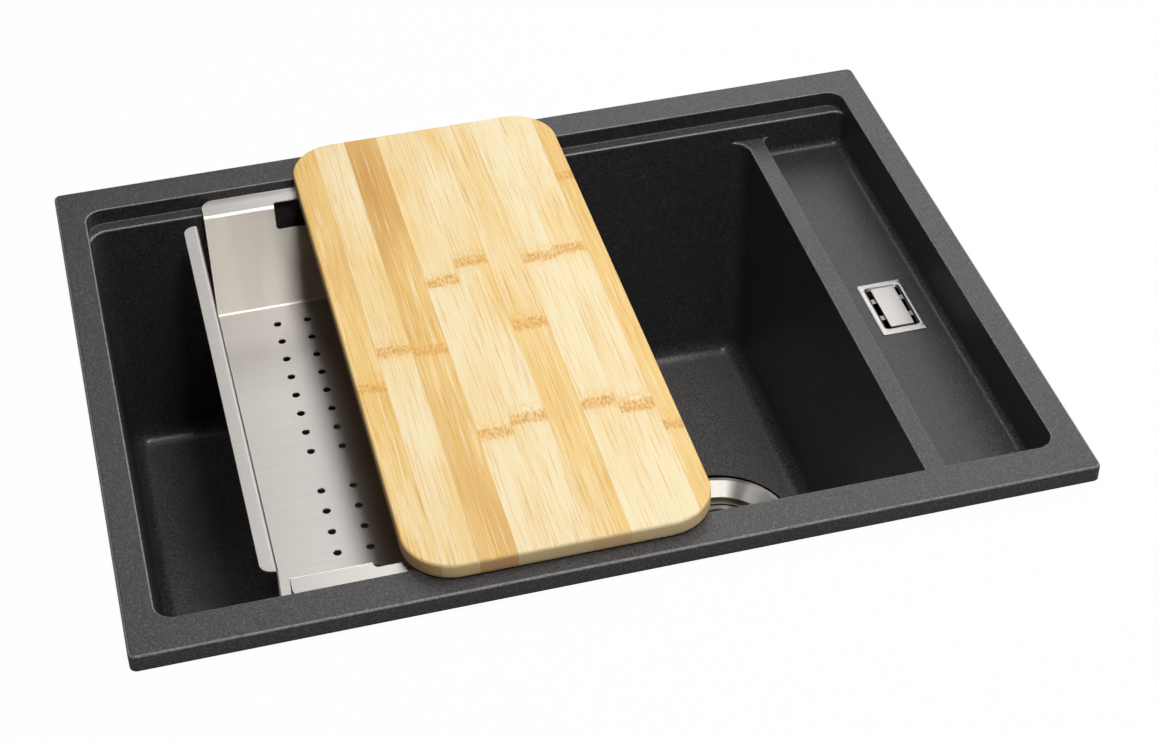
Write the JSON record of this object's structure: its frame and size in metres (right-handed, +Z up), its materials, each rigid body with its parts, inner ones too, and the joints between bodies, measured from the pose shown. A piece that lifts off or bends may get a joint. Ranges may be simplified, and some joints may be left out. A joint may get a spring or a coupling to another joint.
{
  "type": "workstation kitchen sink",
  "caption": "Inset composite sink with one large bowl, a raised side channel with an overflow, ledges for a sliding colander tray, a bamboo board and a basket waste.",
  "frame": {"origin": "middle of the sink at the rim's underside, which is the worktop's surface", "axes": "+X to the right along the sink, towards the side channel; +Y to the back; +Z up"},
  "size_m": [0.65, 0.5, 0.3468],
  "materials": {
    "composite": "satin, fine speckle",
    "brushed_steel": "brushed",
    "spring_steel": "bright",
    "zinc_steel": "zinc plated",
    "brass": "machined",
    "black_plastic": "matte",
    "hose_plastic": "matte",
    "glide_plastic": "matte",
    "rubber": "matte",
    "seal_foam": "matte foam",
    "bamboo": "oiled"
  },
  "bodies": {
    "sink": {"sink_basin": "composite", "rim_seal_strip": "seal_foam", "clamp_inserts": "black_plastic", "clamp_screws": "zinc_steel", "overflow_frame": "brushed_steel", "overflow_screws": "zinc_steel", "overflow_gasket": "rubber", "overflow_housing": "black_plastic", "overflow_hose": "hose_plastic", "hose_clip_upper": "zinc_steel", "hose_clip_lower": "zinc_steel", "waste_flange": "brushed_steel", "waste_flange_gasket": "rubber", "waste_lower_gasket": "rubber", "waste_body": "black_plastic", "waste_tailpiece": "black_plastic", "waste_centre_screw": "zinc_steel", "waste_screw_nut": "brass"},
    "board": {"cutting_board": "bamboo"},
    "tray": {"colander_tray": "brushed_steel", "tray_glide_front": "glide_plastic", "tray_glide_back": "glide_plastic"},
    "basket": {"basket_strainer": "brushed_steel", "basket_seal": "rubber", "basket_knob": "black_plastic"},
    "overflow_cover": {"overflow_plate": "brushed_steel", "overflow_plate_clips": "spring_steel"},
    "claw_front_left": {"clamp_claw_front_left": "zinc_steel"},
    "claw_front_mid": {"clamp_claw_front_mid": "zinc_steel"},
    "claw_front_right": {"clamp_claw_front_right": "zinc_steel"},
    "claw_back_left": {"clamp_claw_back_left": "zinc_steel"},
    "claw_back_mid": {"clamp_claw_back_mid": "zinc_steel"},
    "claw_back_right": {"clamp_claw_back_right": "zinc_steel"}
  },
  "joints": [
    {"name": "board_slide", "type": "slide", "parent": "sink", "child": "board", "axis": [1, 0, 0], "range_m": [-0.181, 0.261]},
    {"name": "tray_slide", "type": "slide", "parent": "sink", "child": "tray", "axis": [1, 0, 0], "range_m": [-0.0695, 0.2235]},
    {"name": "basket_lift", "type": "slide", "parent": "sink", "child": "basket", "axis": [0, 0, 1], "range_m": [0, 0.06]},
    {"name": "overflow_cover_lift", "type": "slide", "parent": "sink", "child": "overflow_cover", "axis": [0, 0, 1], "range_m": [0, 0.025]},
    {"name": "claw_swing_front_left", "type": "hinge", "parent": "sink", "child": "claw_front_left", "pos_m": [-0.19, -0.2275, -0.0444], "axis": [0, 0, -1], "range_deg": [0, 90]},
    {"name": "claw_swing_front_mid", "type": "hinge", "parent": "sink", "child": "claw_front_mid", "pos_m": [0, -0.2275, -0.0444], "axis": [0, 0, -1], "range_deg": [0, 90]},
    {"name": "claw_swing_front_right", "type": "hinge", "parent": "sink", "child": "claw_front_right", "pos_m": [0.19, -0.2275, -0.0444], "axis": [0, 0, -1], "range_deg": [0, 90]},
    {"name": "claw_swing_back_left", "type": "hinge", "parent": "sink", "child": "claw_back_left", "pos_m": [-0.19, 0.2275, -0.0444], "axis": [0, 0, 1], "range_deg": [0, 90]},
    {"name": "claw_swing_back_mid", "type": "hinge", "parent": "sink", "child": "claw_back_mid", "pos_m": [0, 0.2275, -0.0444], "axis": [0, 0, 1], "range_deg": [0, 90]},
    {"name": "claw_swing_back_right", "type": "hinge", "parent": "sink", "child": "claw_back_right", "pos_m": [0.19, 0.2275, -0.0444], "axis": [0, 0, 1], "range_deg": [0, 90]}
  ]
}
